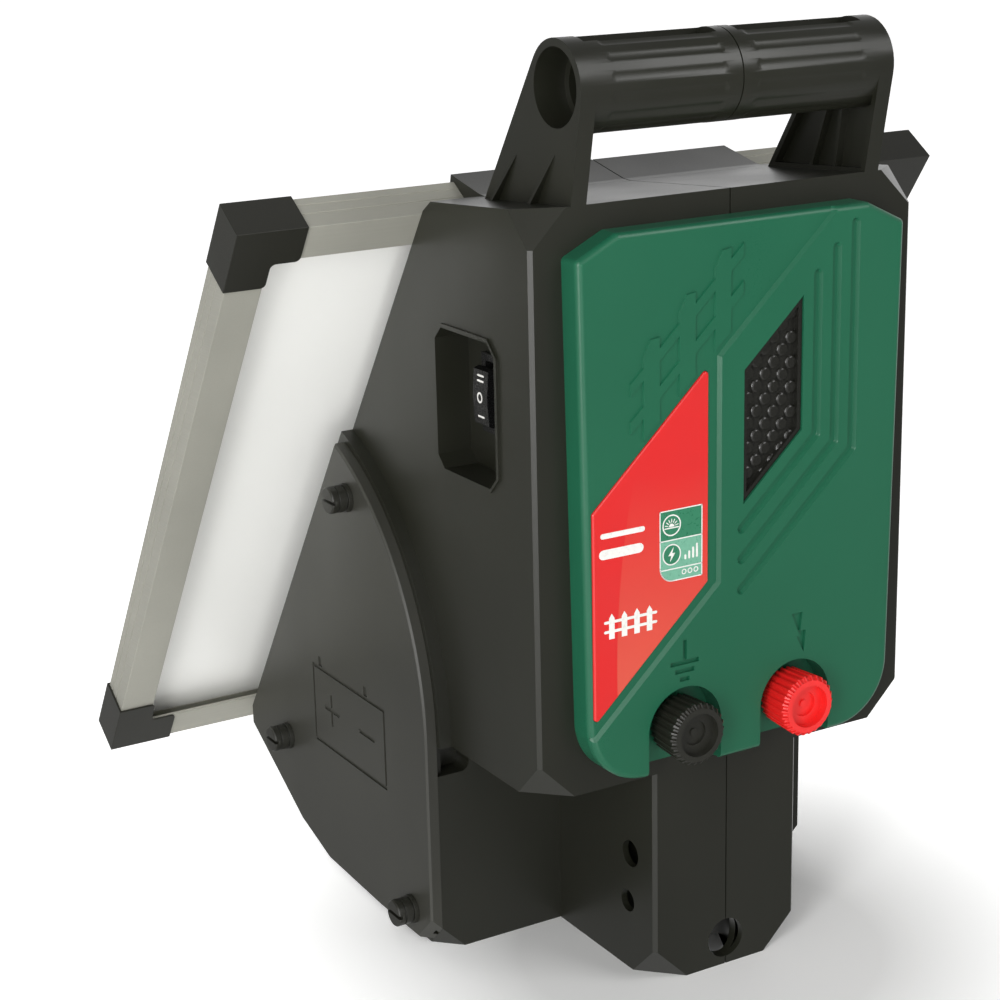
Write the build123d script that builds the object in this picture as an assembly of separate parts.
from build123d import *
from math import acos, atan2, cos, hypot, pi, radians, sin, sqrt, tan
import os

# Solar fence energizer: a twin-shell plastic housing with a carrying handle on top, a post
# socket in its mast, a battery bay behind the mast and a framed solar panel leaning on its back.
#
# Drawing frame, in millimetres: x = 0 is the plane between the two shells, y = 0 is the flat
# front bezel (the front looks along -Y) and z = 0 is the base. Outlines of things drawn from
# the side are (y, z) pairs, and of things drawn from the front (x, z) pairs. Every part is
# shifted by the post axis when it is written, so the origin is the mouth of the post socket.

# ---------------------------------------------------------------- driving dimensions
WALL = 3.0
CORNER_CUT = 16.7          # every outer vertex is cut off this far along its three edges
EDGE_BEVEL = 1.6

BOX_HALF = 93.0
BOX_FLOOR = 98.1
BOX_TOP_FRONT = 339.8
BOX_TOP_REAR = (76.5, 334.1)
BOX_SHOULDER_Z = 329.5

MAST_HALF = 37.2
MAST_DEPTH = 76.3

POST_Y = 20.0
POST_R = 14.0              # takes a 26.9 mm tube
POST_DEPTH = 92.0
SLEEVE_WALL = 3.4
LOCK_HOLE_R = 9.0
LOCK_HOLE_Z = 12.4
PIN_HOLES = ((18.3, 54.9, 6.0), (20.6, 31.8, 5.0))

BAY_HALF = 98.6
BAY_ARC_R = 131.0
ARC_CENTRE = (204.4, 100.2)
BAY_BASE = ((262.8, 46.0), (208.2, 13.0), (180.0, 1.6), (166.0, 0.0))
BAY_OPENING = (
    (104.0, 14.5), (104.0, 150.0), (186.0, 150.0), (209.0, 118.0), (209.0, 24.0), (200.0, 14.5),
)

COVER_GAP = 0.1
COVER_OUTER = 104.2
COVER_ARC_R = 128.2
COVER_SKIN = 2.6
COVER_SCREWS = {"upper": (142.4, 195.6), "rear": (218.9, 55.5), "front": (93.8, 15.4)}
COVER_SCREW_R = 6.1
COVER_SCREW_PROUD = 9.9
COVER_SHANK_R = 3.5
RUNNING_GAP = 0.05

PANEL_WIDTH = 350.5
PANEL_LENGTH = 344.0
PANEL_DEPTH = 18.9
PANEL_TILT = 34.23         # from the vertical
PANEL_EDGE = (83.05, 328.2)
CAP_SKIN = 1.0
CAP_ARM = 31.2
CAP_BAND = 18.5
RAIL_SKIN = 1.6
RAIL_FLANGE = 16.7
RAIL_LIP = 5.0
GLASS_INSET = 2.0
GLASS_THICK = 3.2
CELL_THICK = 0.5
SHEET_THICK = 0.5
LAMINATE_BACK = 12.0       # depth of the white back sheet below the back of the caps
CELL_COLUMNS = 4
CELL_ROWS = 9
CELL_GAP = 3.0

HANDLE_HALF = 74.4
HANDLE_LEG = 7.0
GRIP_AXIS = (9.9, 383.4)
GRIP_R = 18.5
GRIP_END_BORE_R = 15.3
GRIP_BORE_R = 12.2
HANDLE_FOOT_FRONT = (0.0, 338.5)
HANDLE_FOOT_REAR = (65.0, 334.5)
FLUTE_R = 8.0
FLUTE_DEPTH = 0.5
FLUTE_STEP = 24.0
FLUTE_COUNT = 12

FRONT_FACE = 13.0          # how far the raised part of the green cover stands out
FRONT_STEP = 1.6
FRONT_SKIN = 2.5
FRONT_OUTLINE = (
    (-79.0, 320.6), (-60.4, 329.6), (60.4, 329.6), (79.0, 320.6), (75.6, 104.2), (-75.6, 104.2),
)
FRONT_RIM_R = 2.8
FRONT_BOTTOM_R = 27.0
LABEL_THICK = 1.3
PAD_R = 2.8
PAD_FIRST = (2.0, 266.5)
PAD_STEP = 4.25
PAD_RISE = 1.05
PAD_PITCH = 10.3
SYMBOL_LINE = 1.9
SYMBOL_DEPTH = 1.3
DIAGONAL = 0.92            # rise over run of the slanted lines on the cover
RIDGE_X = -15.0
RIDGE_TOP_Z = 276.6
RIDGE_LOW_Z = 182.6

TERMINALS = {"earth": -30.4, "fence": 25.8}
TERMINAL_Z = 122.3
TERMINAL_PLATE_Z = 106.2   # lower edge of the cover's plate behind the knobs
ARCH_R = 18.0
STUD_R = 3.0
KNOB_FRONT_R = 13.4
KNOB_REAR_R = 12.4
KNOB_BACK = 5.6            # back face of a tightened knob, in front of the bezel
KNOB_LENGTH = 17.6
KNOB_BORE = 10.5
KNOB_NOSE = 1.8            # bevel round the knob's front
KNOB_RIBS = 26
KNOB_RIB_R = 1.15

SWITCH_Y = 51.0
SWITCH_Z = 257.0
RECESS = (27.3, 74.9, 224.0, 283.7)
RECESS_DEPTH = 15.0
PIVOT_X = -79.5
ROCKER_HALF = 5.8

BATTERY = (75.5, 106.0, 204.0, 15.2, 110.0)
BATTERY_SKIN = 3.0
BATTERY_CELLS = 6
BATTERY_PLATES = 4
BOARD = (64.0, 22.0, 23.6, 142.0, 318.0)
HOUSING_SCREWS = (
    (62.0, 320.0), (112.0, 260.0), (60.0, 110.0), (60.0, 14.0), (168.0, 172.0), (242.0, 62.0),
)
SHELL_SCREW_R = 2.0
SHELL_SCREW_SEAT = 12.0
COVER_FIXINGS = ((-66.0, 306.0), (66.0, 306.0), (-66.0, 150.0), (66.0, 150.0))
BOARD_FIXINGS = ((-58.0, 148.0), (58.0, 148.0), (-58.0, 312.0), (58.0, 312.0))

TILT = radians(PANEL_TILT)
PANEL = Plane(
    origin=(0, *PANEL_EDGE), x_dir=(1, 0, 0), z_dir=(0, cos(TILT), sin(TILT))
)


# ---------------------------------------------------------------- drawing helpers
def block(x0, x1, y0, y1, z0, z1):
    """A box between two corners."""
    centre = ((x0 + x1) / 2, (y0 + y1) / 2, (z0 + z1) / 2)
    return Pos(*centre) * Box(abs(x1 - x0), abs(y1 - y0), abs(z1 - z0))


def polygon(points):
    """A flat face with straight sides."""
    return make_face(Polyline(*points, close=True))


def from_side(face, x0, x1):
    """Extrudes a (y, z) face from x0 to x1."""
    return extrude(Plane.YZ.offset(x0) * face, amount=x1 - x0)


def from_front(face, y0, y1, taper=0.0):
    """Extrudes an (x, z) face from y0 forwards to y1, which is less than y0."""
    return extrude(Plane.XZ.offset(-y0) * face, amount=y0 - y1, taper=taper)


def rod_x(y, z, radius, x0, x1):
    return Plane.YZ.offset(x0) * Pos(y, z, (x1 - x0) / 2) * Cylinder(radius, x1 - x0)


def rod_y(x, z, radius, y0, y1):
    return Pos(x, (y0 + y1) / 2, z) * Rot(90, 0, 0) * Cylinder(radius, abs(y1 - y0))


def rod_z(x, y, radius, z0, z1):
    return Pos(x, y, (z0 + z1) / 2) * Cylinder(radius, z1 - z0)


def on_panel(v, w):
    """(y, z) of a point v down the panel's slope and w in from the back of its caps."""
    return (
        PANEL_EDGE[0] + v * sin(TILT) + w * cos(TILT),
        PANEL_EDGE[1] - v * cos(TILT) + w * sin(TILT),
    )


def panel_y(z, depth=0.0):
    """y at height z of the plane that lies depth in from the back of the panel's caps."""
    return PANEL_EDGE[0] + (PANEL_EDGE[1] - z) * tan(TILT) + depth / cos(TILT)


def arc_meets_panel(radius, depth):
    """Where a circle about the bay's arc centre meets that plane, above the centre."""
    cy, cz = ARC_CENTRE
    reach = (panel_y(cz, depth) - cy) * cos(TILT)
    along = sqrt(radius**2 - reach**2)
    return (
        cy + reach * cos(TILT) - along * sin(TILT),
        cz + reach * sin(TILT) + along * cos(TILT),
    )


def arc_outline(radius, depth, below, front, front_z, start_z):
    """The battery bay's outline: up the front, over the arc, down the panel, along the base."""
    cy, cz = ARC_CENTRE
    tip = arc_meets_panel(radius, depth)
    middle_angle = (pi + atan2(tip[1] - cz, tip[0] - cy)) / 2
    middle = (cy + radius * cos(middle_angle), cz + radius * sin(middle_angle))
    foot = (cy - radius, cz)
    lower = [tip, (panel_y(57.0, depth), 57.0), *below, (front, front_z), (front, start_z)]
    if abs(front - foot[0]) > 0.01 or abs(start_z - cz) > 0.01:
        lower.append((foot[0], start_z))
        lower.append(foot)
    edges = ThreePointArc(foot, middle, tip) + Polyline(*lower)
    return make_face(edges)


def cut_corner(x, y, z, sx, sy, sz, length=CORNER_CUT):
    """The block that cuts an outer vertex off; sx, sy and sz point out of the solid."""
    plane = Plane(origin=(x - sx * length, y, z), z_dir=(sx, sy, sz))
    return plane * Pos(0, 0, 30) * Box(120, 120, 60)


def shared_corner_cuts(half, y, z, sy, sz, inset=0.0):
    """Cutters for a vertex and its mirror image, moved in by a wall's thickness."""
    step = inset * sqrt(3)
    cutters = []
    for side in (-1, 1):
        cutters.append(cut_corner(side * half, y, z, side, sy, sz, CORNER_CUT + step))
    return cutters


def stroke(points, width):
    """A line of constant width with round ends and corners, as a flat shape."""
    shape = Pos(*points[0]) * Circle(width / 2)
    for (x0, z0), (x1, z1) in zip(points, points[1:]):
        run = hypot(x1 - x0, z1 - z0)
        turn = atan2(z1 - z0, x1 - x0) * 180 / pi
        shape += Pos((x0 + x1) / 2, (z0 + z1) / 2) * Rot(0, 0, turn) * Rectangle(run, width)
        shape += Pos(x1, z1) * Circle(width / 2)
    return shape


def tube(points, radius, bend):
    """A round lead along straight runs joined by bends."""
    path = FilletPolyline(*points, radius=bend) if len(points) > 2 else Line(*points)
    return sweep(Plane(origin=path @ 0, z_dir=path % 0) * Circle(radius), path=path)


def tangent_point(point, centre, radius, side):
    """Where a line from a point touches a circle; side is 1 or -1."""
    dy, dz = point[0] - centre[0], point[1] - centre[1]
    angle = atan2(dz, dy) + side * acos(radius / hypot(dy, dz))
    return (centre[0] + radius * cos(angle), centre[1] + radius * sin(angle))


def hexagon_nut(x, z, flats, height, bore, y0):
    nut = from_front(RegularPolygon(flats / 2, 6, major_radius=False), y0 + height, y0)
    return Pos(x, 0, z) * nut - rod_y(x, z, bore, y0 - 1, y0 + height + 1)


# ---------------------------------------------------------------- housing
def box_face():
    rear_top = (panel_y(BOX_SHOULDER_Z, CAP_SKIN - 0.1), BOX_SHOULDER_Z)
    rear_low = (panel_y(BOX_FLOOR, CAP_SKIN - 0.1), BOX_FLOOR)
    return polygon([(0, BOX_FLOOR), (0, BOX_TOP_FRONT), BOX_TOP_REAR, rear_top, rear_low])


def bay_face():
    foot_z = ARC_CENTRE[1] - 4.0
    return arc_outline(BAY_ARC_R, CAP_SKIN - 0.1, BAY_BASE, MAST_DEPTH, 0.0, foot_z)


def mast_face():
    return polygon([(0, 0), (0, BOX_FLOOR + 10), (MAST_DEPTH + 5, BOX_FLOOR + 10), (MAST_DEPTH + 5, 0)])


def clip_face():
    """The slab over the panel's top edge, with the lip that hooks behind the glass side."""
    face = CAP_SKIN - 0.15
    points = [(70.0, 329.0), (70.0, 334.4), (76.5, 334.9), (100.4, 340.3)]
    points += [on_panel(3.5, PANEL_DEPTH + 0.8), on_panel(3.5, PANEL_DEPTH - 0.8)]
    points += [on_panel(face, PANEL_DEPTH - 0.8), on_panel(face, CAP_SKIN - 0.1), on_panel(6.0, -2.0)]
    return polygon(points)


def foot_hook_face():
    """The lip under the panel's lower edge."""
    end = PANEL_LENGTH - CAP_SKIN + 0.15
    points = [on_panel(end - 18, -5.0), on_panel(end - 18, CAP_SKIN - 0.1), on_panel(end, CAP_SKIN - 0.1)]
    points += [on_panel(end, PANEL_DEPTH - 0.8), on_panel(end - 2.5, PANEL_DEPTH - 0.8)]
    points += [on_panel(end - 2.5, PANEL_DEPTH + 0.8), on_panel(end + 2.4, PANEL_DEPTH + 0.8)]
    points += [on_panel(end + 2.4, -2.0), on_panel(end - 1.0, -5.0)]
    return polygon(points)


def leg_face():
    front = tangent_point(HANDLE_FOOT_FRONT, GRIP_AXIS, GRIP_R, -1)
    rear = tangent_point(HANDLE_FOOT_REAR, GRIP_AXIS, GRIP_R, 1)
    side = polygon([HANDLE_FOOT_FRONT, front, GRIP_AXIS, rear, HANDLE_FOOT_REAR])
    return side + Pos(*GRIP_AXIS) * Circle(GRIP_R)


def bevelled(solid, axis, y):
    """Bevels a solid's edges that run along an axis at depth y."""
    edges = [e for e in solid.edges().filter_by(axis) if abs(e.center().Y - y) < 0.01]
    return chamfer(edges, EDGE_BEVEL)


def outer_shell():
    """The whole outside of the housing, both halves in one, without the handle."""
    box = bevelled(from_side(box_face(), -BOX_HALF, BOX_HALF), Axis.Z, 0.0)
    for cutter in shared_corner_cuts(BOX_HALF, 0, BOX_TOP_FRONT, -1, 1):
        box -= cutter
    for cutter in shared_corner_cuts(BOX_HALF, 0, BOX_FLOOR, -1, -1):
        box -= cutter
    mast = bevelled(from_side(mast_face(), -MAST_HALF, MAST_HALF), Axis.Z, 0.0)
    for cutter in shared_corner_cuts(MAST_HALF, 0, 0, -1, -1):
        mast -= cutter
    bay = from_side(bay_face(), -BAY_HALF, BAY_HALF)
    for cutter in shared_corner_cuts(COVER_OUTER, MAST_DEPTH, 0, -1, -1):
        bay -= cutter
    return box + bay + mast


def inner_space():
    """The hollow inside the walls; the mast is closed above and open at its base."""
    shrink = {"amount": -WALL, "kind": Kind.INTERSECTION}
    box = from_side(offset(box_face(), **shrink), -BOX_HALF + WALL, BOX_HALF - WALL)
    for cutter in shared_corner_cuts(BOX_HALF, 0, BOX_TOP_FRONT, -1, 1, WALL):
        box -= cutter
    for cutter in shared_corner_cuts(BOX_HALF, 0, BOX_FLOOR, -1, -1, WALL):
        box -= cutter
    half = MAST_HALF - WALL
    mast = block(-half, half, WALL, MAST_DEPTH, -1, BOX_FLOOR)
    for cutter in shared_corner_cuts(MAST_HALF, 0, 0, -1, -1, WALL):
        mast -= cutter
    bay = from_side(offset(bay_face(), **shrink), -BAY_HALF + WALL, BAY_HALF - WALL)
    for cutter in shared_corner_cuts(COVER_OUTER, MAST_DEPTH, 0, -1, -1, WALL):
        bay -= cutter
    return box, mast, bay


def handle_half():
    """The handle's right half, from the middle of the grip to its leg."""
    profile = leg_face()
    leg = from_side(profile, HANDLE_HALF - WALL, HANDLE_HALF)
    rim = profile - offset(profile, amount=-2.6, kind=Kind.INTERSECTION)
    leg += from_side(rim, HANDLE_HALF - HANDLE_LEG, HANDLE_HALF)
    for y in (17.5, 34.0):
        low = (y + 3.0, 333.5)
        high = (y - 4.0, 376.0) if y < 30 else (y - 12.0, 372.0)
        rib = polygon([low, high, (high[0] + 1.8, high[1]), (low[0] + 1.8, low[1])])
        leg += from_side(rib, HANDLE_HALF - HANDLE_LEG + 0.6, HANDLE_HALF - 1.0)
    half = leg + rod_x(*GRIP_AXIS, GRIP_R, 0, HANDLE_HALF)
    half -= rod_x(*GRIP_AXIS, GRIP_END_BORE_R, HANDLE_HALF - 14.0, HANDLE_HALF + 1)
    half -= rod_x(*GRIP_AXIS, GRIP_BORE_R, 2.4, HANDLE_HALF)
    for index in range(FLUTE_COUNT):
        angle = radians(118.0 + index * FLUTE_STEP)
        reach = GRIP_R + FLUTE_R - FLUTE_DEPTH
        y = GRIP_AXIS[0] + reach * cos(angle)
        z = GRIP_AXIS[1] + reach * sin(angle)
        flute = rod_x(y, z, FLUTE_R, 9.0, 58.0)
        flute += Pos(9.0, y, z) * Sphere(FLUTE_R)
        flute += Pos(58.0, y, z) * Sphere(FLUTE_R)
        half -= flute
    slot_y = GRIP_AXIS[0] - 7.2
    slot_z = GRIP_AXIS[1] + 15.2
    half -= block(5.0, 66.0, slot_y, slot_y + 12.4, slot_z, slot_z + 10)
    return half + leg_gussets()


def leg_gussets():
    """The slanted ribs between the leg's outer face and the housing's top."""
    ribs = None
    for low, high in (((54.2, 334.5), (38.9, 355.1)), ((24.9, 336.5), (10.5, 358.0))):
        rib = polygon([low, high, (high[0] + 1.8, high[1]), (low[0] + 1.8, low[1])])
        body = from_side(rib, HANDLE_HALF - 1.0, HANDLE_HALF + 3.4)
        slope = Plane(origin=(HANDLE_HALF + 0.1, high[0], high[1]), x_dir=(0, 1, 0), z_dir=(1, 0, 0.17))
        body -= slope * Pos(0, 0, 15) * Box(80, 80, 30)
        ribs = body if ribs is None else ribs + body
    return ribs


def seam_groove():
    """A fine groove round the joint between the two shells."""
    depth = 0.6
    outline = box_face() + bay_face() + mast_face() + clip_face()
    ring = outline - offset(outline, amount=-depth, kind=Kind.INTERSECTION)
    grip = Pos(*GRIP_AXIS) * (Circle(GRIP_R) - Circle(GRIP_R - depth))
    return from_side(ring, -0.3, 0.3) + from_side(grip, -0.3, 0.3)


def recess_face(grow=0.0):
    y0, y1, z0, z1 = RECESS
    width = y1 - y0 + 2 * grow
    height = z1 - z0 + 2 * grow
    face = Pos((y0 + y1) / 2, (z0 + z1) / 2) * Rectangle(width, height)
    return chamfer(face.vertices(), 5.2 + grow)


def switch_block(x0, x1, half_y, half_z):
    """A box from x0 to x1, centred on the switch."""
    return block(x0, x1, SWITCH_Y - half_y, SWITCH_Y + half_y, SWITCH_Z - half_z, SWITCH_Z + half_z)


def switch_recess_walls():
    wall = from_side(recess_face(2.4), -BOX_HALF + 0.5, -BOX_HALF + RECESS_DEPTH + 2.4)
    rim = from_side(recess_face(1.7), -BOX_HALF - 0.9, -BOX_HALF + 0.5)
    return wall + rim


def switch_recess_cut():
    pocket = from_side(recess_face(), -BOX_HALF - 2, -BOX_HALF + RECESS_DEPTH)
    hole = switch_block(-BOX_HALF, -BOX_HALF + 30, 7.4, 14.6)
    return pocket + hole


def bezel_window():
    """The bezel's window in front of the status lamp, and its holes for studs and screws."""
    outline = polygon([(2, 238), (2, 276), (28, 276), (28, 238)])
    window = from_front(fillet(outline.vertices(), 4), 10, -1)
    for x in TERMINALS.values():
        window += rod_y(x, TERMINAL_Z, STUD_R + 0.1, -1, 10)
    for x, z in COVER_FIXINGS:
        window += rod_y(x, z, 1.7, -1, 10)
    return window


def socket_sleeve():
    sleeve = rod_z(0, POST_Y, POST_R + SLEEVE_WALL, 0, POST_DEPTH + WALL)
    reach = MAST_HALF - 1.0
    sleeve += block(-reach, reach, POST_Y + 8.0, POST_Y + 10.4, 0, POST_DEPTH)
    return sleeve


def socket_cuts():
    cuts = rod_z(0, POST_Y, POST_R, -1, POST_DEPTH)
    cuts += rod_y(0, LOCK_HOLE_Z, LOCK_HOLE_R, -1, POST_Y)
    for y, z, radius in PIN_HOLES:
        cuts += rod_x(y, z, radius, -MAST_HALF - 1, MAST_HALF + 1)
    return cuts


def battery_ribs(side):
    """Upright ribs that carry the battery above the sloping base."""
    top = BATTERY[3] - 0.2
    profile = polygon([(104.0, 1.5), (104.0, top), (206.0, top), (206.0, 13.5), (178.6, 4.5), (150.0, 1.5)])
    ribs = None
    for x in (12.0, 48.0, 70.0):
        rib = from_side(profile, side * x - 1.3, side * x + 1.3)
        ribs = rib if ribs is None else ribs + rib
    return ribs


def board_posts(side):
    posts = None
    for x, z in BOARD_FIXINGS:
        if x * side > 0:
            post = rod_y(x, z, 4.2, WALL - 1, BOARD[1]) - rod_y(x, z, 1.52, 8.0, BOARD[1] + 1)
            posts = post if posts is None else posts + post
    return posts


def screw_bosses(side):
    """Bosses for the shell screws, from a side wall to the middle plane."""
    radius = 6.6 if side > 0 else 5.2
    bosses = None
    for y, z in HOUSING_SCREWS:
        wall = BOX_HALF if z > 90 and y < 150 else BAY_HALF
        wall = MAST_HALF if y < MAST_DEPTH and z < 90 else wall
        ends = (0, wall - 1.0) if side > 0 else (-wall + 1.0, 0)
        boss = rod_x(y, z, radius, *ends)
        bosses = boss if bosses is None else bosses + boss
    return bosses


def screw_bores(side):
    bores = None
    for y, z in HOUSING_SCREWS:
        if side > 0:
            bore = rod_x(y, z, 4.3, SHELL_SCREW_SEAT, 120) + rod_x(y, z, SHELL_SCREW_R + 0.2, -1, 20)
        else:
            bore = rod_x(y, z, SHELL_SCREW_R + 0.02, -18, 1)
        bores = bore if bores is None else bores + bore
    return bores


def cable_slot():
    """The rounded blind notch beside the battery cover's upper front corner."""
    face = Pos(-92.0, 91.0) * Rectangle(18.0, 14.0)
    corners = [v for v in face.vertices() if v.X > -90]
    mouth = from_front(fillet(corners, 4.0), MAST_DEPTH + WALL, MAST_DEPTH - 5)
    pocket = Pos(-89.2, 91.0) * Rectangle(12.4, 14.0)
    corners = [v for v in pocket.vertices() if v.X > -90]
    return mouth + from_front(fillet(corners, 4.0), MAST_DEPTH + 10, MAST_DEPTH)


def cable_slot_walls():
    return block(-97.0, -80.2, MAST_DEPTH + 1, MAST_DEPTH + 13, 81.0, 101.5)


def build_housing():
    """Both halves: one shell, hollowed, fitted out and split at the middle plane."""
    shell = outer_shell() + from_side(clip_face(), -70, 70)
    for space in inner_space():
        shell -= space
    lead_hole = PANEL * Pos(0, 84, -5) * Cylinder(4.0, 16)
    halves = {}
    for side, name in ((-1, "housing_left"), (1, "housing_right")):
        keep = block(0, side * 140, -60, 340, -10, 460)
        half = (shell & keep) + (socket_sleeve() & keep)
        half += screw_bosses(side)
        half += battery_ribs(side)
        half += board_posts(side)
        handle = handle_half()
        half += handle if side > 0 else mirror(handle, about=Plane.YZ)
        hook = from_side(foot_hook_face(), 30, 75)
        half += hook if side > 0 else mirror(hook, about=Plane.YZ)
        if side < 0:
            half += switch_recess_walls()
            half -= switch_recess_cut()
            half -= from_side(polygon(BAY_OPENING), -BAY_HALF - 1, -BAY_HALF + WALL + 1)
            half += cable_slot_walls()
            half -= cable_slot()
            for y, z in COVER_SCREWS.values():
                half -= rod_x(y, z, 5.6, -BAY_HALF - 1, -BAY_HALF + WALL + 1)
        half -= screw_bores(side)
        half -= socket_cuts()
        half -= bezel_window()
        half -= lead_hole
        half -= seam_groove()
        halves[name] = half
    return halves


def build_housing_screws():
    screws = []
    for y, z in HOUSING_SCREWS:
        shank = rod_x(y, z, SHELL_SCREW_R, SHELL_SCREW_SEAT - 28, SHELL_SCREW_SEAT)
        head = rod_x(y, z, 3.9, SHELL_SCREW_SEAT, SHELL_SCREW_SEAT + 3)
        slot = block(SHELL_SCREW_SEAT + 1.6, SHELL_SCREW_SEAT + 4, y - 0.6, y + 0.6, z - 2.4, z + 2.4)
        cross = block(SHELL_SCREW_SEAT + 1.6, SHELL_SCREW_SEAT + 4, y - 2.4, y + 2.4, z - 0.6, z + 0.6)
        screws.append(shank + head - slot - cross)
    return screws


# ---------------------------------------------------------------- front cover
def front_face(shrink=0.0):
    face = polygon(FRONT_OUTLINE)
    low = [v for v in face.vertices() if v.Y < 110]
    face = fillet(low, FRONT_BOTTOM_R)
    high = [v for v in face.vertices() if v.Y > 300]
    face = fillet(high, 2.5)
    return offset(face, amount=-shrink, kind=Kind.INTERSECTION) if shrink else face


def front_block(depth):
    """The cover's outside up to one of its two levels, with its rounded rim."""
    solid = from_front(front_face(), 0, -depth)
    rim = [e for e in solid.edges() if abs(e.center().Y + depth) < 0.01]
    return fillet(rim, FRONT_RIM_R)


def raised_region():
    """The area to the right of the ridge, widened at its root by a bevel."""
    x = RIDGE_X
    run = 90.0
    upper = (x + run, RIDGE_TOP_Z + run * DIAGONAL)
    lower = (x - run, RIDGE_LOW_Z - run * DIAGONAL)
    right = [(120, upper[1]), (120, 60), (lower[0], 60)]
    return polygon([(x, RIDGE_LOW_Z), (x, RIDGE_TOP_Z), upper, *right, lower])


def arch_shape(x, radius):
    arch = Pos(x, TERMINAL_Z) * Circle(radius)
    return arch + Pos(x, TERMINAL_Z - 20) * Rectangle(2 * radius, 40)


def groove_paths():
    """Three nested grooves: down beside the grille, then slanting under it."""
    tops = (303.3, 313.0, 322.0)
    columns = (34.6, 44.0, 53.4)
    bends = (237.0, 232.6, 228.2)
    for x, top, bend in zip(columns, tops, bends):
        run = x + 2.5
        yield [(x, top), (x, bend), (-2.5, bend - run * DIAGONAL)]


def earth_symbol():
    x, z = TERMINALS["earth"] - 0.3, 151.0
    symbol = Pos(x, z + 4.8) * Rectangle(SYMBOL_LINE, 9.6)
    for index, width in enumerate((14.0, 9.4, 4.6)):
        symbol += Pos(x, z - 3.6 * index) * Rectangle(width, SYMBOL_LINE)
    return symbol


def fence_symbol():
    points = [(23.6, 160.8), (29.2, 160.8), (28.2, 152.6), (31.0, 152.6)]
    points += [(30.2, 142.8), (26.2, 150.4), (28.0, 150.4)]
    return polygon(points)


def fence_motif():
    """A plain embossed fence: three posts and two wires, leaning with the ridge."""
    x0, z0, pitch, width = -50.0, 246.0, 17.0, 8.4
    rise = width * DIAGONAL
    motif = None
    for index in range(3):
        x = x0 + index * pitch
        z = z0 + index * pitch * DIAGONAL
        right = x + width
        post = polygon([(x, z), (x, z + 34), (x + 3.6, z + 41), (right, z + 34 + rise), (right, z + rise)])
        motif = post if motif is None else motif + post
    for height in (9.0, 24.0):
        left, right = x0 - 6.0, x0 + 2 * pitch + width + 6.0
        low = z0 + height + (left - x0) * DIAGONAL
        high = z0 + height + (right - x0) * DIAGONAL
        motif += polygon([(left, low), (left, low + 6), (right, high + 6), (right, high)])
    return motif


def grille_face(shrink=0.0):
    left, right = -1.9, 27.4
    face = polygon([(left, 213.0), (left, 268.8), (right, 295.8), (right, 240.0)])
    return offset(face, amount=-shrink, kind=Kind.INTERSECTION) if shrink else face


def label_face(shrink=0.0):
    face = polygon([(-74.0, 220.8), (-18.6, 272.6), (-18.6, 183.2), (-74.0, 132.0)])
    face = fillet(face.vertices(), 1.5)
    return offset(face, amount=-shrink, kind=Kind.INTERSECTION) if shrink else face


def build_front_cover():
    low, high = FRONT_FACE - FRONT_STEP, FRONT_FACE
    step = from_front(raised_region(), -low + 1.0, -high - 2.0, 40.0)
    cover = front_block(low) + (front_block(high) & step)
    hollow = from_front(front_face(FRONT_SKIN), 1, -low + FRONT_SKIN)
    for x in TERMINALS.values():
        hollow -= from_front(arch_shape(x, ARCH_R + 2.2), 2, -high)
    for x, z in COVER_FIXINGS:
        hollow -= rod_y(x, z, 3.8, -high, 2)
    hollow -= from_front(grille_face(-2.2), 2, -high)
    cover -= hollow
    for x in TERMINALS.values():
        cover -= from_front(arch_shape(x, ARCH_R), -3.0, -high - 2)
        cover -= block(x - ARCH_R, x + ARCH_R, -high - 2, 1, 100, TERMINAL_PLATE_Z)
        cover -= rod_y(x, TERMINAL_Z, STUD_R + 0.1, -5, 1)
    for x, z in COVER_FIXINGS:
        cover -= rod_y(x, z, 1.52, -high + 3.5, 1)
    cover -= from_front(grille_face(), 2, -high - 2)
    for path in groove_paths():
        cover -= from_front(stroke(path, 2.6), -high + 1.6, -high - 1.0, -30.0)
    cover -= from_front(earth_symbol() + fence_symbol(), -high + SYMBOL_DEPTH, -high - 1)
    cover += from_front(fence_motif(), -low + 0.4, -low - 0.8, 20.0)
    cover -= from_front(label_face(-0.15), -low + 0.4, -low - 1)
    return cover


def build_label():
    seat = FRONT_FACE - FRONT_STEP - 0.4
    face = seat + LABEL_THICK
    label = from_front(label_face(), -seat, -face)
    rim = [e for e in label.edges() if abs(e.center().Y + face) < 0.01]
    return fillet(rim, 0.9)


def build_grille():
    """The black insert: a tray in the window, with slanting rows of round pads on its floor."""
    floor = FRONT_FACE - 3.4
    tray = from_front(grille_face(0.15), -floor + 4.0, -FRONT_FACE + 0.9)
    tray -= from_front(grille_face(2.0), -floor, -FRONT_FACE - 1)
    pads = None
    for column in range(6):
        x = PAD_FIRST[0] + column * PAD_STEP
        for row in range(6):
            z = PAD_FIRST[1] + column * PAD_STEP * PAD_RISE - row * PAD_PITCH
            pad = rod_y(x, z, PAD_R, -floor - 0.7, -floor + 0.5)
            pad += Pos(x, -floor - 1.0, z) * Rot(90, 0, 0) * Cone(PAD_R, PAD_R - 0.7, 0.6)
            pads = pad if pads is None else pads + pad
    return tray + (pads & from_front(grille_face(1.0), 0, -20))


def build_front_seal():
    ring = from_front(front_face(FRONT_SKIN + 0.2), 0, -1.6)
    ring -= from_front(front_face(FRONT_SKIN + 2.2), 1, -3)
    for x in TERMINALS.values():
        ring -= from_front(arch_shape(x, ARCH_R + 2.5), 2, -3)
    return max(ring.solids(), key=lambda s: s.volume)


def build_cover_fixings():
    screws = []
    for x, z in COVER_FIXINGS:
        screws.append(rod_y(x, z, 1.5, -9.0, WALL) + rod_y(x, z, 3.0, WALL, WALL + 2.2))
    return screws


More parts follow.
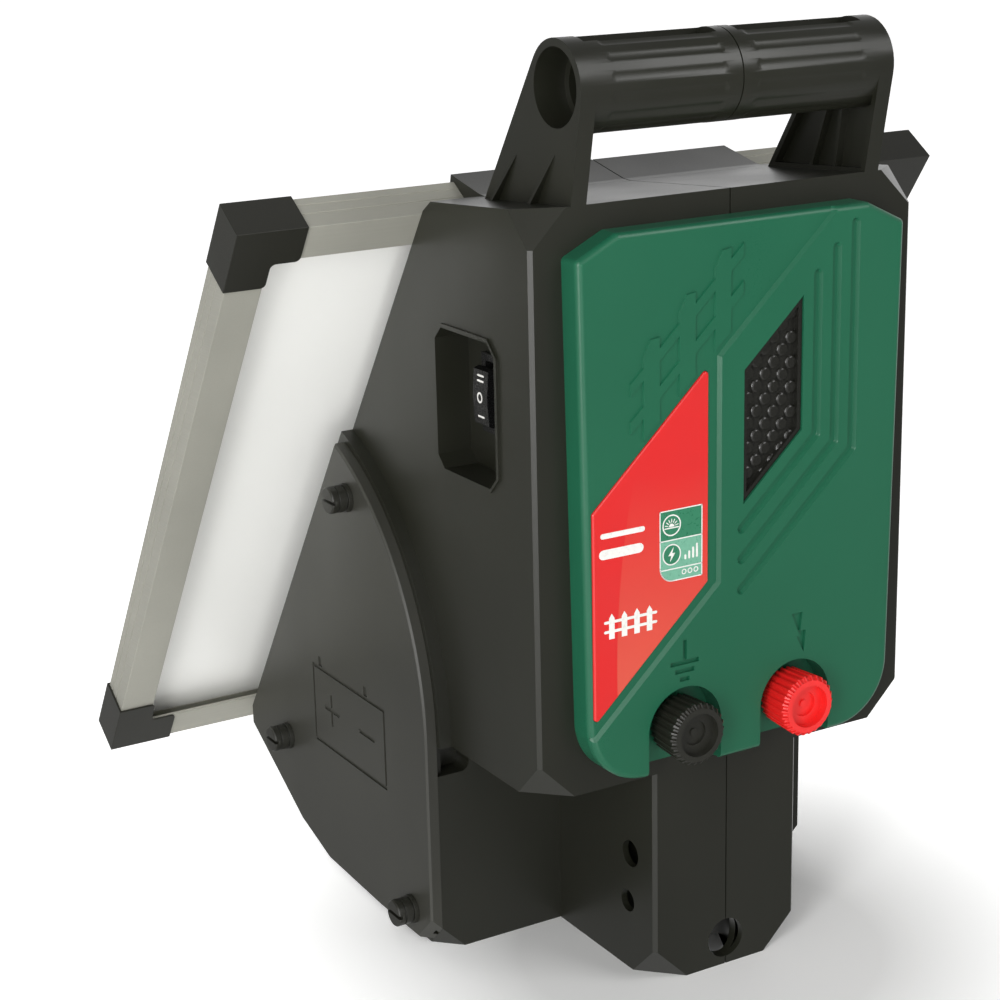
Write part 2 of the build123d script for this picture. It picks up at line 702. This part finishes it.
# ---------------------------------------------------------------- terminals
def build_stud(x):
    stud = rod_y(x, TERMINAL_Z, STUD_R, -KNOB_BACK - KNOB_BORE + 0.8, 16.0)
    tip = [e for e in stud.edges() if e.center().Y < -10]
    return chamfer(tip, 0.6)


def build_contact(x):
    return rod_y(x, TERMINAL_Z, 8.5, -4.0, -3.0) - rod_y(x, TERMINAL_Z, STUD_R + 0.02, -6, 0)


def build_washer(x):
    washer = rod_y(x, TERMINAL_Z, 9.4, -KNOB_BACK, -4.0)
    return washer - rod_y(x, TERMINAL_Z, STUD_R + RUNNING_GAP, -8, 0)


def knob_groove(x, angle, start, end):
    """A rod that cuts one groove; start and end are (radius, y) pairs."""
    ends = []
    for reach, y in (start, end):
        ends.append(Vector(x + reach * cos(angle), y, TERMINAL_Z + reach * sin(angle)))
    run = ends[1] - ends[0]
    return Plane(origin=ends[0], z_dir=run) * Pos(0, 0, run.length / 2) * Cylinder(KNOB_RIB_R, run.length)


def build_knob(x):
    """Ribbed knob, a little wider at the front, with a bevelled nose and a stepped recess."""
    back, face = -KNOB_BACK, -KNOB_BACK - KNOB_LENGTH
    cone = Rot(90, 0, 0) * Cone(KNOB_REAR_R, KNOB_FRONT_R, KNOB_LENGTH)
    knob = Pos(x, (back + face) / 2, TERMINAL_Z) * cone
    nose = [e for e in knob.edges().filter_by(GeomType.CIRCLE) if e.center().Y < face + 1]
    knob = chamfer(nose, KNOB_NOSE)
    knob -= rod_y(x, TERMINAL_Z, 9.2, face - 1, face + 3.6)
    knob -= rod_y(x, TERMINAL_Z, 5.4, face - 1, face + 5.0)
    knob += rod_y(x, TERMINAL_Z, 1.6, face + 4.2, face + 5.5)
    knob -= rod_y(x, TERMINAL_Z, 4.6, back - KNOB_BORE, back + 1)
    widest = (KNOB_FRONT_R + 0.1, face + KNOB_NOSE)
    grooves = []
    for index in range(KNOB_RIBS):
        angle = 2 * pi * (index + 0.5) / KNOB_RIBS
        grooves.append(knob_groove(x, angle, (KNOB_REAR_R + 0.1, back + 0.6), widest))
        grooves.append(knob_groove(x, angle, widest, (KNOB_FRONT_R - KNOB_NOSE, face - 0.1)))
    return knob - grooves


def build_bush(x):
    back, face = -KNOB_BACK, -KNOB_BACK - KNOB_BORE
    bush = rod_y(x, TERMINAL_Z, 4.6, face, back)
    return bush - rod_y(x, TERMINAL_Z, STUD_R + RUNNING_GAP, face - 1, back + 1)


def build_stud_nuts(y0):
    return [hexagon_nut(x, TERMINAL_Z, 10.0, 4.6, STUD_R + 0.02, y0) for x in TERMINALS.values()]


def build_output_lead(x):
    """A ring lug under the lock nut, and its wire up to the circuit board."""
    lug = rod_y(x, TERMINAL_Z, 5.6, 7.6, 8.6)
    lug += block(x - 1.6, x + 1.6, 7.6, 8.6, TERMINAL_Z + 4, TERMINAL_Z + 11)
    lug -= rod_y(x, TERMINAL_Z, STUD_R + 0.02, 5, 12)
    start = (x, 8.9, TERMINAL_Z + 8)
    wire = tube([start, (x, 8.9, TERMINAL_Z + 34), (x, BOARD[1], TERMINAL_Z + 34)], 1.3, 6.0)
    return lug + wire


# ---------------------------------------------------------------- switch
def build_switch_body():
    """The snap-in switch: a bezel on the recess floor and a hollow body behind it."""
    floor = -BOX_HALF + RECESS_DEPTH
    bezel = switch_block(floor - 2.4, floor, 9.4, 16.6)
    body = switch_block(floor, floor + 26, 7.3, 14.4)
    well = switch_block(floor - 5, floor + 8, 6.2, 13.5)
    pin = Pos(PIVOT_X, SWITCH_Y, SWITCH_Z) * Rot(90, 0, 0) * Cylinder(1.26, 2 * (ROCKER_HALF + 1.1))
    return bezel + body - well - pin


def build_rocker():
    """A three-position rocker on two short trunnions."""
    outline = [(-3.0, -9.8), (4.4, -12.3), (6.7, -11.3), (7.5, 0), (6.7, 11.3), (4.4, 12.3), (-3.0, 9.8)]
    face = polygon([(PIVOT_X - out, SWITCH_Z + up) for out, up in outline])
    rocker = from_front(face, SWITCH_Y + ROCKER_HALF, SWITCH_Y - ROCKER_HALF)
    rocker += Pos(PIVOT_X, SWITCH_Y, SWITCH_Z) * Rot(90, 0, 0) * Cylinder(1.2, 2 * (ROCKER_HALF + 1.0))
    return rocker


def build_switch_terminals():
    start = -BOX_HALF + RECESS_DEPTH + 26
    blades = []
    for up in (-9.0, 0.0, 9.0):
        z = SWITCH_Z + up
        blade = block(start, start + 8, SWITCH_Y - 3.1, SWITCH_Y + 3.1, z - 0.4, z + 0.4)
        hole = rod_z(start + 5.5, SWITCH_Y, 0.9, z - 2, z + 2)
        blades.append(blade - hole)
    return blades


# ---------------------------------------------------------------- battery bay cover
def cover_face(shrink=0.0):
    base = ((262.8, 47.3), (208.2, 15.0), (178.6, 5.4), (125.0, 3.0))
    face = arc_outline(COVER_ARC_R, -4.0, base, ARC_CENTRE[0] - COVER_ARC_R, 3.0, ARC_CENTRE[1])
    return offset(face, amount=-shrink, kind=Kind.INTERSECTION) if shrink else face


def pictogram():
    """A battery outline with two poles, marked plus and minus."""
    low, high, left, right = 65.6, 103.0, 186.6, 115.0
    frame = stroke([(left, high), (left, low), (right, low), (right, high), (left, high)], 1.7)
    for y in (179.0, 132.8):
        frame += Pos(y, high + 3.4) * Rectangle(3.4, 4.4)
    frame += stroke([(175.5, 85.0), (161.5, 85.0)], 2.0)
    frame += stroke([(168.5, 78.0), (168.5, 92.0)], 2.0)
    frame += stroke([(140.0, 85.0), (126.0, 85.0)], 2.0)
    return frame


def build_battery_cover():
    inner = -BAY_HALF - COVER_GAP
    plate = from_side(cover_face(), -COVER_OUTER, inner)
    rim = [e for e in plate.edges() if abs(e.center().X + COVER_OUTER) < 0.01]
    plate = chamfer(rim, 0.9)
    hollow = from_side(cover_face(9.0), -COVER_OUTER + COVER_SKIN, inner + 1)
    groove = from_side(cover_face(3.4) - cover_face(5.6), inner - 1.6, inner + 1)
    for y, z in COVER_SCREWS.values():
        hollow -= rod_x(y, z, 8.0, -COVER_OUTER, inner + 2)
    plate -= hollow
    plate -= groove
    plate -= cut_corner(-COVER_OUTER, MAST_DEPTH, 0, -1, -1, -1)
    for y, z in COVER_SCREWS.values():
        plate -= rod_x(y, z, COVER_SHANK_R + RUNNING_GAP, -COVER_OUTER - 1, inner + 1)
    plate -= from_side(pictogram(), -COVER_OUTER - 1, -COVER_OUTER + 0.8)
    return plate


def build_cover_seal():
    inner = -BAY_HALF - COVER_GAP
    seal = from_side(cover_face(3.6) - cover_face(5.4), inner - 1.5, inner)
    return seal - cut_corner(-COVER_OUTER, MAST_DEPTH, 0, -1, -1, -1, CORNER_CUT + 6)


def build_cover_screw(name):
    """A quarter-turn fastener: slotted head over a grooved collar, with a cam foot."""
    y, z = COVER_SCREWS[name]
    outer = -COVER_OUTER
    tip = outer - COVER_SCREW_PROUD
    head = rod_x(y, z, COVER_SCREW_R, tip, outer - 2.9)
    rims = [e for e in head.edges().filter_by(GeomType.CIRCLE) if abs(e.center().X - tip) < 0.01]
    head = chamfer(rims, 0.6)
    head += rod_x(y, z, COVER_SCREW_R - 0.8, outer - 3.0, outer - 2.0)
    head += rod_x(y, z, COVER_SCREW_R + 0.5, outer - 2.1, outer - 0.1)
    head -= block(tip - 1, tip + 1.8, y - 8, y + 8, z - 0.8, z + 0.8)
    groove = rod_x(y, z, COVER_SCREW_R + 1, tip + 3.2, tip + 4.0)
    head -= groove - rod_x(y, z, COVER_SCREW_R - 0.7, tip + 3, tip + 4.2)
    shank = rod_x(y, z, COVER_SHANK_R, outer - 1, -BAY_HALF + 4.0)
    foot = block(-BAY_HALF + 0.4, -BAY_HALF + 4.0, y - 1.6, y + 1.6, z - 5.0, z + 5.0)
    foot &= rod_x(y, z, 5.0, -BAY_HALF, -BAY_HALF + 5)
    return head + shank + foot


def build_battery_pad(side):
    """A foam block that steadies one end of the battery."""
    end = BATTERY[0] + 0.3
    wall = BAY_HALF - WALL - 0.1 if side > 0 else COVER_OUTER - COVER_SKIN - 0.1
    x0, x1 = sorted((side * end, side * wall))
    return block(x0, x1, 122.0, 190.0, 30.0, 96.0)


# ---------------------------------------------------------------- inside
def build_battery_case():
    half, y0, y1, z0, z1 = BATTERY
    case = block(-half, half, y0, y1, z0, z1)
    case = fillet(case.edges().filter_by(Axis.Z), 2.0)
    for x in (-25.0, 25.0):
        case -= block(x - 0.6, x + 0.6, y0 - 1, y0 + 0.8, z0 + 8, z1 - 10)
    skin = BATTERY_SKIN
    for cell in range(BATTERY_CELLS):
        left, right = cell_span(cell)
        case -= block(left, right, y0 + skin, y1 - skin, z0 + skin, z1 - 2 * skin)
    return case


def cell_span(cell):
    """Where a battery cell's hollow begins and ends along the case."""
    pitch = (2 * BATTERY[0] - BATTERY_SKIN) / BATTERY_CELLS
    left = -BATTERY[0] + BATTERY_SKIN + cell * pitch
    return left, left + pitch - BATTERY_SKIN


def build_battery_plates():
    """The lead plates, a pack of them upright in each cell."""
    y0, y1, z0, z1 = BATTERY[1:]
    gap = BATTERY_SKIN + 1.5
    low, high = z0 + BATTERY_SKIN, z1 - 4 * BATTERY_SKIN
    plates = []
    for cell in range(BATTERY_CELLS):
        left, right = cell_span(cell)
        pitch = (right - left) / BATTERY_PLATES
        for index in range(BATTERY_PLATES):
            x = left + (index + 0.5) * pitch
            plates.append(block(x - 1.1, x + 1.1, y0 + gap, y1 - gap, low, high))
    return plates


def build_battery_terminals():
    z = BATTERY[4]
    tabs = []
    for x in (-40.0, 40.0):
        tab = block(x - 3.2, x + 3.2, 114.6, 115.4, z, z + 7)
        tabs.append(tab + block(x - 3.2, x + 3.2, 114.6, 121, z, z + 0.8))
    return tabs


def build_battery_lead(x):
    """From a battery tab up and forward to the back of the circuit board."""
    z = BATTERY[4]
    sleeve = block(x - 4.0, x + 4.0, 113.2, 116.8, z + 1.4, z + 15)
    sleeve -= block(x - 3.3, x + 3.3, 114.5, 115.5, z, z + 8)
    wire = tube([(x, 115, z + 14), (x, 115, 150), (x, BOARD[2], 150)], 1.4, 12.0)
    return sleeve + wire


def build_circuit_board():
    half, y0, y1, z0, z1 = BOARD
    board = block(-half, half, y0, y1, z0, z1)
    for x, z in BOARD_FIXINGS:
        board -= rod_y(x, z, 1.7, y0 - 1, y1 + 1)
    return board


def build_board_screws():
    screws = []
    for x, z in BOARD_FIXINGS:
        screws.append(rod_y(x, z, 1.5, 12.0, BOARD[2]) + rod_y(x, z, 2.9, BOARD[2], BOARD[2] + 2.0))
    return screws


def build_transformer_core():
    """A laminated core with a middle leg, lying on the board's back."""
    y0 = BOARD[2]
    core = block(-48, 8, y0 + 4, y0 + 30, 170, 222)
    for z0, z1 in ((178, 188.5), (203.5, 214)):
        core -= block(-39, -1, y0, y0 + 40, z0, z1)
    return core


def build_transformer_winding():
    y0 = BOARD[2]
    coil = block(-38, -2, y0 + 0.2, y0 + 34, 178.5, 213.5)
    coil = fillet(coil.edges().filter_by(Axis.X), 7.0)
    return coil - block(-60, 20, y0 + 3.8, y0 + 30.2, 188.3, 203.7)


def build_capacitors():
    y0 = BOARD[2]
    cans = []
    for z in (186.0, 226.0):
        can = rod_y(34.0, z, 15.0, y0, y0 + 48)
        cans.append(fillet([e for e in can.edges() if e.center().Y > y0 + 40], 1.6))
    return cans


def build_heat_sink():
    y0 = BOARD[2]
    sink = block(-46, -6, y0, y0 + 3, 246, 290)
    for index in range(7):
        x = -46 + index * 6.2
        sink += block(x, x + 1.8, y0 + 2, y0 + 20, 246, 290)
    return sink


def build_status_lamp():
    lamp = rod_y(13.0, 255.0, 2.5, BOARD[1] - 16, BOARD[1])
    return lamp + Pos(13.0, BOARD[1] - 16, 255.0) * Sphere(2.5)


# ---------------------------------------------------------------- solar panel
def panel_block(u0, u1, v0, v1, w0, w1):
    return PANEL * block(u0, u1, v0, v1, w0, w1)


def panel_ring(inset, w0, w1):
    """The part of the panel's area that lies further in than an inset from the rails' edge."""
    half = PANEL_WIDTH / 2 - CAP_SKIN - inset
    return panel_block(-half, half, CAP_SKIN + inset, PANEL_LENGTH - CAP_SKIN - inset, w0, w1)


def build_rails():
    """Four mitred aluminium rails around the glass."""
    back, front = CAP_SKIN, PANEL_DEPTH - CAP_SKIN
    glass_top = LAMINATE_BACK + SHEET_THICK + CELL_THICK + GLASS_THICK + 0.4
    frame = panel_ring(0, back, front)
    frame -= panel_ring(RAIL_LIP, LAMINATE_BACK - 1, front + 1)
    frame -= panel_ring(GLASS_INSET, LAMINATE_BACK, glass_top)
    frame -= panel_ring(8.0, LAMINATE_BACK - 2, LAMINATE_BACK + 1)
    frame -= panel_ring(GLASS_INSET, back + RAIL_SKIN, LAMINATE_BACK - 1.4)
    frame -= panel_ring(RAIL_FLANGE, back - 1, back + 2 * RAIL_SKIN)
    for depth in (8.2, 13.4):
        groove = panel_ring(-2, depth, depth + 0.7) - panel_ring(0.5, depth - 1, depth + 2)
        frame -= groove
    half, length = PANEL_WIDTH / 2, PANEL_LENGTH
    top = [(-half, 0), (half, 0), (half - 60, 60), (-half + 60, 60)]
    bottom = [(x, length - v) for x, v in top]
    left = [(-half, 0), (-half + 60, 60), (-half + 60, length - 60), (-half, length)]
    right = [(-x, v) for x, v in left]
    rails = {}
    for name, points in (("top", top), ("bottom", bottom), ("left", left), ("right", right)):
        wedge = PANEL * extrude(polygon(points), amount=PANEL_DEPTH)
        rails[f"panel_rail_{name}"] = frame & wedge
    return rails


def build_corner_caps():
    """Black corner shoes, open only towards the middle of the panel."""
    caps = {}
    body = panel_ring(0, CAP_SKIN, PANEL_DEPTH - CAP_SKIN)
    for row, side_v in (("top", 0), ("bottom", 1)):
        for column, side_u in (("left", -1), ("right", 1)):
            v0 = PANEL_LENGTH if side_v else 0.0
            dv = -1 if side_v else 1
            u0 = side_u * PANEL_WIDTH / 2
            du = -side_u
            points = [(0, 0), (CAP_ARM, 0), (CAP_ARM, CAP_BAND)]
            points += [(CAP_BAND, CAP_BAND), (CAP_BAND, CAP_ARM), (0, CAP_ARM)]
            face = polygon([(u0 + du * a, v0 + dv * b) for a, b in points])
            inner = [v for v in face.vertices() if abs(v.X - u0) > 1 and abs(v.Y - v0) > 1]
            cap = PANEL * extrude(fillet(inner, 2.4), amount=PANEL_DEPTH)
            caps[f"corner_cap_{row}_{column}"] = cap - body
    return caps


def build_laminate():
    """Glass, cells and back sheet, in that order from the sunny side."""
    inset = GLASS_INSET + 0.3
    w = LAMINATE_BACK + 0.05
    sheet = panel_ring(inset, w, w + SHEET_THICK)
    cells_w = w + SHEET_THICK
    glass_w = cells_w + CELL_THICK
    glass = panel_ring(inset, glass_w, glass_w + GLASS_THICK)
    margin = 11.0
    half = PANEL_WIDTH / 2 - margin
    v0, v1 = margin, PANEL_LENGTH - margin
    width = (2 * half - (CELL_COLUMNS - 1) * CELL_GAP) / CELL_COLUMNS
    height = (v1 - v0 - (CELL_ROWS - 1) * CELL_GAP) / CELL_ROWS
    cells = []
    for column in range(CELL_COLUMNS):
        for row in range(CELL_ROWS):
            u = -half + column * (width + CELL_GAP)
            v = v0 + row * (height + CELL_GAP)
            cells.append(panel_block(u, u + width, v, v + height, cells_w, glass_w))
    return {"back_sheet": sheet, "solar_cells": cells, "panel_glass": glass}


def build_junction_box():
    box = panel_block(-32, 32, 60, 108, 3.2, LAMINATE_BACK)
    box -= panel_block(-30, 30, 62, 106, 2, LAMINATE_BACK - 2)
    return box


def build_junction_lid():
    lid = panel_block(-32, 32, 60, 108, 1.6, 3.2) + panel_block(-29.8, 29.8, 62.2, 105.8, 3.2, 4.4)
    return lid - PANEL * Pos(0, 84, 0) * Cylinder(1.6, 30)


def build_panel_lead():
    """From the junction box through the housing's back and on to the circuit board."""
    y0, z0 = on_panel(84, 6.0)
    y1, z1 = on_panel(84, -22.0)
    return tube([(0, y0, z0), (0, y1, z1), (0, BOARD[2], z1)], 1.5, 10.0)


# ---------------------------------------------------------------- writing the parts
def write(node, shape):
    """Moves a part so that the post axis is the origin's and writes it as one STEP file."""
    pieces = shape if isinstance(shape, list) else [shape]
    solids = []
    for piece in pieces:
        solids += [Pos(0, -POST_Y, 0) * solid for solid in piece.solids()]
    result = solids[0] if len(solids) == 1 else Compound(children=solids)
    export_step(result, f"parts/{node}.step")


def main():
    os.makedirs("parts", exist_ok=True)
    parts = build_housing()
    parts["housing_screws"] = build_housing_screws()
    parts["front_cover"] = build_front_cover()
    parts["front_cover_seal"] = build_front_seal()
    parts["front_cover_screws"] = build_cover_fixings()
    parts["label_plate"] = build_label()
    parts["grille_insert"] = build_grille()
    for name, x in TERMINALS.items():
        parts[f"{name}_stud"] = build_stud(x)
        parts[f"{name}_contact_plate"] = build_contact(x)
        parts[f"{name}_washer"] = build_washer(x)
        parts[f"{name}_knob"] = build_knob(x)
        parts[f"{name}_knob_bush"] = build_bush(x)
        parts[f"{name}_lead"] = build_output_lead(x)
    parts["stud_nuts"] = build_stud_nuts(WALL)
    parts["stud_lock_nuts"] = build_stud_nuts(8.6)
    parts["switch_body"] = build_switch_body()
    parts["switch_rocker"] = build_rocker()
    parts["switch_terminals"] = build_switch_terminals()
    parts["battery_cover"] = build_battery_cover()
    parts["battery_cover_seal"] = build_cover_seal()
    parts["battery_pad_left"] = build_battery_pad(-1)
    parts["battery_pad_right"] = build_battery_pad(1)
    for name in COVER_SCREWS:
        parts[f"cover_screw_{name}"] = build_cover_screw(name)
    parts["battery_case"] = build_battery_case()
    parts["battery_plates"] = build_battery_plates()
    parts["battery_terminals"] = build_battery_terminals()
    parts["battery_lead_negative"] = build_battery_lead(-40.0)
    parts["battery_lead_positive"] = build_battery_lead(40.0)
    parts["circuit_board"] = build_circuit_board()
    parts["circuit_board_screws"] = build_board_screws()
    parts["transformer_core"] = build_transformer_core()
    parts["transformer_winding"] = build_transformer_winding()
    parts["storage_capacitors"] = build_capacitors()
    parts["heat_sink"] = build_heat_sink()
    parts["status_lamp"] = build_status_lamp()
    parts.update(build_rails())
    parts.update(build_corner_caps())
    parts.update(build_laminate())
    parts["junction_box"] = build_junction_box()
    parts["junction_box_lid"] = build_junction_lid()
    parts["panel_lead"] = build_panel_lead()
    for node, shape in parts.items():
        write(node, shape)
    print(len(parts), "parts written")


main()
